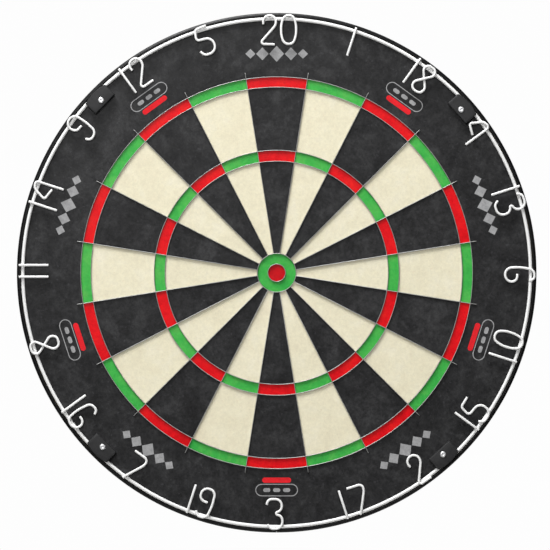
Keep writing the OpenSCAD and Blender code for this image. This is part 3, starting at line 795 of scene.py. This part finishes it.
def bend(before, corner, after):
    """Points of one bend: the corner itself, or an arc of the stated radius"""
    lift = corner[3] * CROSSING_LIFT if len(corner) > 3 else 0
    here = Vector(corner[:2])
    if corner[2] == 0:
        return [(here.x, here.y, lift)]
    into = (here - Vector(before[:2])).normalized()
    out = (Vector(after[:2]) - here).normalized()
    side = 1 if into.x * out.y - into.y * out.x > 0 else -1
    turn = into.angle(out)
    centre = here - into * corner[2] * math.tan(turn / 2) + side * corner[2] * Vector((-into.y, into.x))
    start = math.atan2(into.y, into.x) - side * math.pi / 2
    steps = max(2, math.ceil(math.degrees(turn) / BEND_STEP))
    angles = [start + side * turn * i / steps for i in range(steps + 1)]
    return [(centre.x + corner[2] * math.cos(a), centre.y + corner[2] * math.sin(a), 0) for a in angles]


def wire_path(points, closed):
    """Centre line of a digit, every bend rounded"""
    n = len(points)
    path = []
    for i, p in enumerate(points):
        corner = p if closed or 0 < i < n - 1 else (*p[:2], 0)
        path += bend(points[i - 1], corner, points[(i + 1) % n])
    return path


def sweep(shape, path, radius, closed):
    """Round wire along a path; open ends are blunt with a rounded edge"""
    n = len(path)
    points = [Vector(p) for p in path]
    sections = []
    for i, p in enumerate(points):
        before = p - points[i - 1] if closed or i > 0 else Vector()
        after = points[(i + 1) % n] - p if closed or i < n - 1 else Vector()
        along = (before.normalized() + after.normalized()).normalized()
        sections.append((p, along, radius))
    if not closed:
        rim = [(BLUNT * math.sin(t), radius - BLUNT * (1 - math.cos(t)))
            for t in [math.radians(a) for a in (90, 60, 30)]]
        first, last = sections[0], sections[-1]
        sections[0] = (first[0] + first[1] * BLUNT, first[1], radius)
        sections[-1] = (last[0] - last[1] * BLUNT, last[1], radius)
        sections = [(sections[0][0] - first[1] * d, first[1], r) for d, r in rim] + sections
        sections += [(sections[-1][0] + last[1] * d, last[1], r) for d, r in reversed(rim)]
    loops = []
    for centre, along, r in sections:
        across = Vector((-along.y, along.x, 0)).normalized()
        up = along.cross(across)
        loops.append([tuple(centre + across * r * math.cos(a) + up * r * math.sin(a))
            for a in full_turn(WIRE_SIDES)])
    shape.loft(loops, ring=closed)


def weld(shape, x, y, z, along_angle):
    """A flattened bead of weld metal, a little longer along the ring than across it"""
    rows = []
    for t in [math.pi * i / 6 for i in range(1, 6)]:
        r = WELD_R * math.sin(t)
        rim = [at_clock((WELD_STRETCH * r * math.cos(a), r * math.sin(a), 0), along_angle)
            for a in full_turn(12)]
        rows.append([(x + px, y + py, z + WELD_HEIGHT * math.cos(t)) for px, py, _ in rim])
    shape.loft(rows)


def make_number_ring():
    sections = []
    count = 360
    for i in range(count):
        angle = 360 * i / count
        from_joint = math.radians(angle - JOINT_ANGLE) * RING_R
        radius = RING_WIRE_R + JOINT_SWELL * math.exp(-(from_joint / JOINT_HALF_W) ** 2)
        sections.append([polar(RING_R + radius * math.cos(a), angle, RING_Z + radius * math.sin(a))
            for a in full_turn(20)])
    ring = Shape().loft(sections, ring=True)
    dress(new_object("number_ring_bent_wire", ring, 70), "number_ring", "white_wire", WHITE_WIRE,
        "number_ring_wire")
    for k, (value, *offsets) in enumerate(NUMERALS):
        shape = Shape()
        angle = SECTOR * k
        middle_r = NUMERAL_R - (INVERTED_DROP if k in INVERTED else 0)
        turn = -1 if k in INVERTED else 1
        for digit, offset in zip(map(int, str(value)), offsets):
            closed = digit in CLOSED_DIGITS
            path = [at_clock((turn * (offset + x), middle_r + turn * y, NUMERAL_Z + lift), angle)
                for x, y, lift in wire_path(DIGITS[digit], closed)]
            sweep(shape, path, NUMERAL_WIRE_R, closed)
            ends = path[1:] + path[:1] if closed else path[1:]
            for a, b in zip(path, ends):
                ra, rb = [math.hypot(*p[:2]) - RING_R for p in (a, b)]
                if ra * rb < 0:
                    t = ra / (ra - rb)
                    x, y = a[0] + (b[0] - a[0]) * t, a[1] + (b[1] - a[1]) * t
                    weld(shape, x, y, RING_Z + RING_WIRE_R, math.degrees(math.atan2(x, y)))
        dress(new_object(f"numeral_{value}_bent_wire", shape, 60), "number_ring", "white_wire", WHITE_WIRE,
            f"numeral_{value}")


# ---- Clips and pins ----

CLIP_ANGLES = (48.5, 137.5, 225, 314.5)
CLIP_HALF_W = 12
CLIP_INNER_R = 208.4
CLIP_OUTER_R = 222.5
CLIP_CROWN_R = 39
NOTCH_Y = RING_R - RING_WIRE_R - 0.8
NOTCH_Z = RING_Z + RING_WIRE_R + 0.3
PIN_R = 213.3
PIN_HOLE_R = 1.3


def clip_section(x, inset):
    """Cross-section of a clip at x as (y, z), its edges rounded and pulled in by inset"""
    crown_y = CLIP_OUTER_R - CLIP_CROWN_R
    outer = crown_y + math.sqrt(CLIP_CROWN_R ** 2 - x ** 2) - inset
    inner, low, high = CLIP_INNER_R + inset, CLIP_BOTTOM_Z + inset * 0.4, CLIP_TOP_Z - inset
    return rounded([(inner, low, 0.35), (NOTCH_Y - inset, low, 0.3), (NOTCH_Y - inset, NOTCH_Z, 0.3),
        (outer, NOTCH_Z, 0.35), (outer, high, 0.75), (inner, high, 0.75)])


def make_clips():
    """Moulded blocks over the ring wire, each held by a pin with a dimpled head"""
    stations = [(0, 0.75), (0.1, 0.45), (0.28, 0.22), (0.5, 0.08), (0.8, 0)]
    for n, angle in enumerate(CLIP_ANGLES, start=1):
        shape = Shape()
        ends = [(-CLIP_HALF_W + d, inset) for d, inset in stations]
        middle = [(-CLIP_HALF_W + 0.8 + (2 * CLIP_HALF_W - 1.6) * i / 16, 0) for i in range(1, 16)]
        places = ends + middle + [(-x, inset) for x, inset in reversed(ends)]
        shape.loft([[at_clock((x, y, z), angle) for y, z in clip_section(x, inset)] for x, inset in places])
        clip = new_object(f"clip_{n}_moulding", shape, 32)
        hole = Shape().post((0, PIN_R), PIN_HOLE_R, CLIP_BOTTOM_Z - 2, CLIP_TOP_Z + 2, 32, angle)
        cut(clip, hole, 32)
        dress(clip, f"clip_{n}", "clip_plastic", CLIP_PLASTIC, f"clip_{n}")
        profile = (raised(PIN_TOP_Z, [(AXIS_R, -0.4), (0.5, -0.38), (0.85, -0.2), (1.1, -0.02), (1.4, 0),
            (1.9, -0.06), (2.3, -0.28), (2.5, -0.6)])
            + raised(CLIP_TOP_Z, [(2.46, 0.03), (2.3, 0.01), (1.24, 0.01)])
            + raised(PIN_TIP_Z, [(1.24, 1.2), (1.0, 0.4), (0.5, 0.05), (AXIS_R, 0)]))
        pin = Shape().lathe(profile, 40, (0, PIN_R), angle)
        dress(new_object(f"clip_pin_{n}_turned", pin, 45), f"clip_{n}", "pin_steel", PIN_STEEL,
            f"clip_pin_{n}")


# ---- Steel band ----

BAND_WALL_R = BAND_R - 0.2
BEAD_R = 1.65
BEAD_HALF_W = 1.93
BEAD_CENTRE_R = BAND_R - 1.42
BEAD_Z = FRONT_Z - BEAD_R
# How far the bead is pressed over, so that its front slopes outwards
BEAD_LEAN = math.radians(30)
# Part of the bead's outline that is drawn, in degrees, from its outer crease to its rolled-in edge
BEAD_FROM = 47
BEAD_TO = 258
BEAD_POINTS = 16
SHEET_T = 0.8
HEM_W = 3
SEAM_HALF_GAP = 0.1
RIVET_X = 6
RIVET_Z = (BACK_Z + 11, FRONT_Z - 11)


def band_profile():
    """Section of the band as (radius, z): hem at the back, wall, neck and rolled bead at the front"""
    crease = BAND_R - 0.05
    outside = rounded([(BAND_R - HEM_W, BACK_Z, 0.3), (BAND_WALL_R, BACK_Z, 0.8),
        (BAND_WALL_R, BEAD_Z - 2.2, 0.3), (crease, BEAD_Z - 1.2, 0.3), (crease, BEAD_Z + 0.4)], closed=False)
    bead = []
    for i in range(BEAD_POINTS):
        t = math.radians(BEAD_FROM + (BEAD_TO - BEAD_FROM) * i / (BEAD_POINTS - 1))
        bead.append((BEAD_CENTRE_R + BEAD_HALF_W * math.cos(t), BEAD_Z + BEAD_R * math.sin(t - BEAD_LEAN)))
    inner = BAND_WALL_R - SHEET_T
    inside = [(inner, BEAD_Z - 1.75), (inner, BACK_Z + SHEET_T + 0.4), (inner - 0.4, BACK_Z + SHEET_T),
        (BAND_R - HEM_W + 0.1, BACK_Z + SHEET_T)]
    return outside + bead + inside


def make_band():
    """Sheet steel bent round the board, its ends meeting at the bottom over a riveted strip"""
    profile = band_profile()
    half_gap = math.degrees(SEAM_HALF_GAP / BAND_R)
    count = 320
    sections = []
    for i in range(count + 1):
        angle = 180 + half_gap + (360 - 2 * half_gap) * i / count
        wave = 0.06 * noise.noise(polar(1.3, angle, 4))
        sections.append([polar(r + wave, angle, z) for r, z in profile])
    band = new_object("steel_band_rolled", Shape().loft(sections), 42)
    dress(band, "board", "band_steel", BAND_PAINT, "steel_band")
    rivets = Shape()
    for x in (-RIVET_X, RIVET_X):
        for z in RIVET_Z:
            surface = math.sqrt(BAND_WALL_R ** 2 - x ** 2)
            head = [(AXIS_R, 0.42), (0.9, 0.4), (1.7, 0.3), (2.3, 0.12), (2.5, -0.04), (2.4, -0.12),
                (1.5, -0.14), (1.5, -2), (AXIS_R, -2)]
            rivets.loft([[(x + r * math.cos(t), -(surface + out), z + r * math.sin(t))
                for t in full_turn(32)] for r, out in head])
    dress(new_object("band_rivets_headed", rivets, 45), "board", "zinc_steel", SCREW_STEEL, "band_rivets")


# ---- Back of the board ----

FOOT_ANGLES = (0, 120, 240)
FOOT_CIRCLE_R = 185
FOOT_R = 11
FOOT_HEIGHT = front("rear_feet")


def cut_cross(piece, places, length, width, low, high):
    """
    Cuts a cross slot that narrows towards its floor at each (radius, clock angle) place.
    Its two slots are cut one after the other, because a cutter that crosses itself fails.
    """
    for along_x in (True, False):
        slots = Shape()
        for radius, angle in places:
            sections = []
            for z, shrink in ((low, 1), (high, 0.55)):
                a, b = length / 2 * (0.5 + shrink / 2), width / 2 * shrink
                w, h = (a, b) if along_x else (b, a)
                sections.append([at_clock((sx * w, radius + sy * h, z), angle)
                    for sx, sy in ((1, 1), (-1, 1), (-1, -1), (1, -1))])
            slots.loft(sections)
        cut(piece, slots, 40)


def make_feet():
    """Rubber feet with a soft edge, and the pan-head screws sunk in them"""
    profile = rounded([(FOOT_R, FOOT_HEIGHT), (FOOT_R, FOOT_HEIGHT - 1.6, 0.5), (FOOT_R - 0.6, 2.2, 1.2),
        (FOOT_R - 1.6, 0, 1.4), (5.4, 0, 0.5), (4.2, 0.8, 0.6), (4.2, 7), (2.1, 7), (2.1, FOOT_HEIGHT)])
    feet = Shape()
    screws = Shape()
    head = [(AXIS_R, 4.4), (1.8, 4.45), (3.0, 4.8), (3.7, 5.4), (3.9, 6.2), (3.85, 6.9), (3.7, 7), (2, 7),
        (2, 17.6), (0.9, 18.6), (AXIS_R, 18.8)]
    for angle in FOOT_ANGLES:
        feet.lathe(profile, 72, (0, FOOT_CIRCLE_R), angle)
        screws.lathe(head, 40, (0, FOOT_CIRCLE_R), angle)
    dress(new_object("rear_feet_rubber", feet, 40), "board", "foot_rubber", RUBBER, "rear_feet")
    made = new_object("foot_screws_turned", screws, 40)
    cut_cross(made, [(FOOT_CIRCLE_R, angle) for angle in FOOT_ANGLES], 4.4, 0.9, 3.5, 5.6)
    dress(made, "board", "zinc_steel", SCREW_STEEL, "foot_screws")


def make_hanger():
    """The flanged bush and the cross-head screw in the middle of the back"""
    disc_z, top_z = back("hanger_bush"), front("hanger_bush")
    bush = Shape().lathe(rounded([(3.05, disc_z + 0.3), (3.5, disc_z), (11, disc_z, 0.6),
        (11, disc_z + 2.2, 0.5), (6, disc_z + 2.2, 0.5), (6, top_z, 0.3), (3.05, top_z)]), 96)
    dress(new_object("hanger_bush_turned", bush, 40), "hanger", "zinc_steel", SCREW_STEEL, "hanger_bush")
    head_z, tip_z = back("hanger_screw"), front("hanger_screw")
    screw = Shape().lathe(raised(head_z, [(AXIS_R, 0), (3.6, 0.06), (5.4, 0.4), (6.2, 0.9), (6.5, 1.5),
        (6.45, 1.9), (6.3, 2.1), (3, 2.1)]) + raised(tip_z, [(3, -1.6), (1.4, -0.3), (AXIS_R, 0)]), 64)
    made = new_object("hanger_screw_turned", screw, 40)
    cut_cross(made, [(0, 0)], 7.6, 1.6, head_z - 1, head_z + 1.1)
    dress(made, "hanger", "zinc_steel", SCREW_STEEL, "hanger_screw")


# ---- Wall bracket ----

BRACKET_W = 104
BRACKET_H = 60
PLATE_HALF_W = 22
FOOT_X = 28
PLATE_Z = 6
BRACKET_T = 2
SLOT_R = 6.3
LEAD_IN = 3
CORNER = 5
SCREW_X = 41
SCREW_Y = 20
SCREW_HOLE_R = 2.4
BRACKET_EDGE_R = 0.22


def bracket_outline():
    """The blank's edge, with the slot open at the top, anticlockwise from the slot's floor"""
    w, h = BRACKET_W / 2, BRACKET_H / 2
    right = rounded([(SLOT_R, 0), (SLOT_R, h - 2 * LEAD_IN, 2), (SLOT_R + LEAD_IN, h, 1.2),
        (w - CORNER, h, 1.5), (w, h - CORNER, 1.5), (w, -h + CORNER, 1.5), (w - CORNER, -h, 1.5), (0, -h)],
        closed=False)
    floor = [(SLOT_R * math.sin(t), -SLOT_R * math.cos(t))
        for t in [math.radians(90 * i / 12) for i in range(12)]]
    half = floor[1:] + right
    return [(0, -SLOT_R)] + half + [(-x, y) for x, y in reversed(half[:-1])]


def bent(x, flat_z):
    """Level of a point of the bent sheet; flat_z runs from -1 at its back to 1 at its front"""
    def level(low_x, high_x, low, high):
        t = min(1, max(0, (abs(x) - low_x) / (high_x - low_x)))
        t = t * t * (3 - 2 * t) * 0.35 + t * 0.65
        return high + (low - high) * t
    rear = level(PLATE_HALF_W, FOOT_X, 0, PLATE_Z)
    fore = level(PLATE_HALF_W + 1, FOOT_X + 1, BRACKET_T, PLATE_Z + BRACKET_T)
    return rear + (fore - rear) * (flat_z + 1) / 2


def make_bracket():
    """Pressed steel sheet with softened edges, cut flat and then bent"""
    curve = bpy.data.curves.new("bracket_blank", "CURVE")
    curve.dimensions = "2D"
    curve.fill_mode = "BOTH"
    holes = [[(sx * SCREW_X + SCREW_HOLE_R * math.cos(t), sy * SCREW_Y + SCREW_HOLE_R * math.sin(t))
        for t in full_turn(32)] for sx in (-1, 1) for sy in (-1, 1)]
    for outline in [bracket_outline()] + holes:
        spline = curve.splines.new("POLY")
        spline.points.add(len(outline) - 1)
        for point, (x, y) in zip(spline.points, outline):
            point.co = (x, y, 0, 1)
        spline.use_cyclic_u = True
    # Drawn from -1 at its back to 1 at its front, which is what bent() takes
    curve.extrude = 1 - BRACKET_EDGE_R
    curve.bevel_depth = BRACKET_EDGE_R
    curve.bevel_resolution = 2
    curve.offset = -BRACKET_EDGE_R
    blank = add_object("bracket_blank", curve)
    mesh = bpy.data.meshes.new_from_object(blank.evaluated_get(bpy.context.evaluated_depsgraph_get()))
    bpy.data.objects.remove(blank)
    bm = bmesh.new()
    bm.from_mesh(mesh)
    bmesh.ops.remove_doubles(bm, verts=bm.verts, dist=1e-4)
    for side in (-1, 1):
        for i in range(9):
            x = side * (PLATE_HALF_W - 0.5 + (FOOT_X - PLATE_HALF_W + 2) * i / 8)
            everything = bm.verts[:] + bm.edges[:] + bm.faces[:]
            bmesh.ops.bisect_plane(bm, geom=everything, plane_co=(x, 0, 0), plane_no=(1, 0, 0), dist=1e-5)
    for v in bm.verts:
        x, y, z = v.co
        v.co = to_world((x, y, bent(x, z)))
    bmesh.ops.recalc_face_normals(bm, faces=bm.faces)
    bm.to_mesh(mesh)
    bm.free()
    smooth(mesh, 32)
    mesh.name = "wall_bracket_pressed"
    piece = add_object("wall_bracket_pressed", mesh)
    dress(piece, "wall_bracket", "bracket_steel", BRACKET_COAT, "wall_bracket")


# ---- Making the pieces, and materials for the CAD pieces that stay ----

make_playing_face()
make_number_band()
make_printed_marks()
make_radial_blades()
make_ring_blades()
make_number_ring()
make_clips()
make_band()
make_feet()
make_hanger()
make_bracket()
for name, material in (("sisal_mat", RAW_SISAL), ("backing_board", CHIPBOARD),
        ("band_joint_strip", BAND_PAINT)):
    give_material(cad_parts[name], material)


# ---- Floor, light and camera ----

# A board's bull hangs 1.73 m above the floor
FLOOR_Z = -1730
FLOOR_R = 2200
FLOOR_T = 20


def make_floor():
    floor = new_object("floor", Shape().loft([[(FLOOR_R * math.cos(t), z, -FLOOR_R * math.sin(t))
        for t in full_turn(96)] for z in (FLOOR_Z - FLOOR_T, FLOOR_Z)]))
    f = Finish("pale_floor")
    tone = f.noise(90, detail=4, shift=3)
    colour = f.mix(f.span(tone, 0.35, 0.65), "#E4E3E1", "#ECEBE9")
    floor.data.materials.append(f.done(colour, f.span(tone, 0.3, 0.7, 0.6, 0.75)))


def add_light(name, place, size, watts):
    """A square softbox aimed at the middle of the board"""
    data = bpy.data.lights.new(name, "AREA")
    data.shape = "SQUARE"
    data.size = size
    data.energy = watts
    light = add_object(name, data)
    light.location = place
    light.rotation_euler = (-Vector(place)).to_track_quat("-Z", "Y").to_euler()
    light.visible_camera = False


def make_world(above, below, backdrop):
    """Surroundings lit from above; backdrop is what the camera sees behind the object"""
    world = bpy.data.worlds.new("studio")
    bpy.context.scene.world = world
    t = Tree(world)
    up = t.node("SeparateXYZ", {0: t.node("TexCoord").outputs["Generated"]}).outputs["Z"]
    height = t.node("MapRange", {"Value": up, "From Min": -1, "From Max": 1, "To Min": below,
        "To Max": above}).outputs["Result"]
    lit, seen = [t.node("Background", {"Color": (1, 1, 1, 1), "Strength": strength}).outputs[0]
        for strength in (height, backdrop)]
    camera_ray = t.node("LightPath").outputs["Is Camera Ray"]
    mix = t.node("MixShader", {0: camera_ray, 1: lit, 2: seen})
    t.node("OutputWorld", {"Surface": mix.outputs[0]})


# Width of the view at the playing face, and how far the view's middle is from the board's
VIEW_WIDTH = 0.4773
VIEW_SHIFT = (-0.00145, -0.00196)
CAMERA_DISTANCE = 3.0


def make_camera():
    data = bpy.data.cameras.new("camera")
    data.sensor_width = 36
    data.lens = data.sensor_width * CAMERA_DISTANCE / VIEW_WIDTH
    camera = add_object("camera", data)
    camera.location = (VIEW_SHIFT[0], -FACE_Z * MM - CAMERA_DISTANCE, VIEW_SHIFT[1])
    camera.rotation_euler = (math.radians(90), 0, 0)
    bpy.context.scene.camera = camera


make_floor()
make_world(0.2, 0.04, 0.985)
add_light("key", (-0.65, -1.05, 2.3), 1.2, 104)
add_light("front_fill", (-0.45, -2.5, 0.7), 0.7, 20)
add_light("rear_fill", (0.5, 1.3, 2.2), 1.2, 60)
make_camera()
bpy.context.scene.view_settings.view_transform = "Standard"
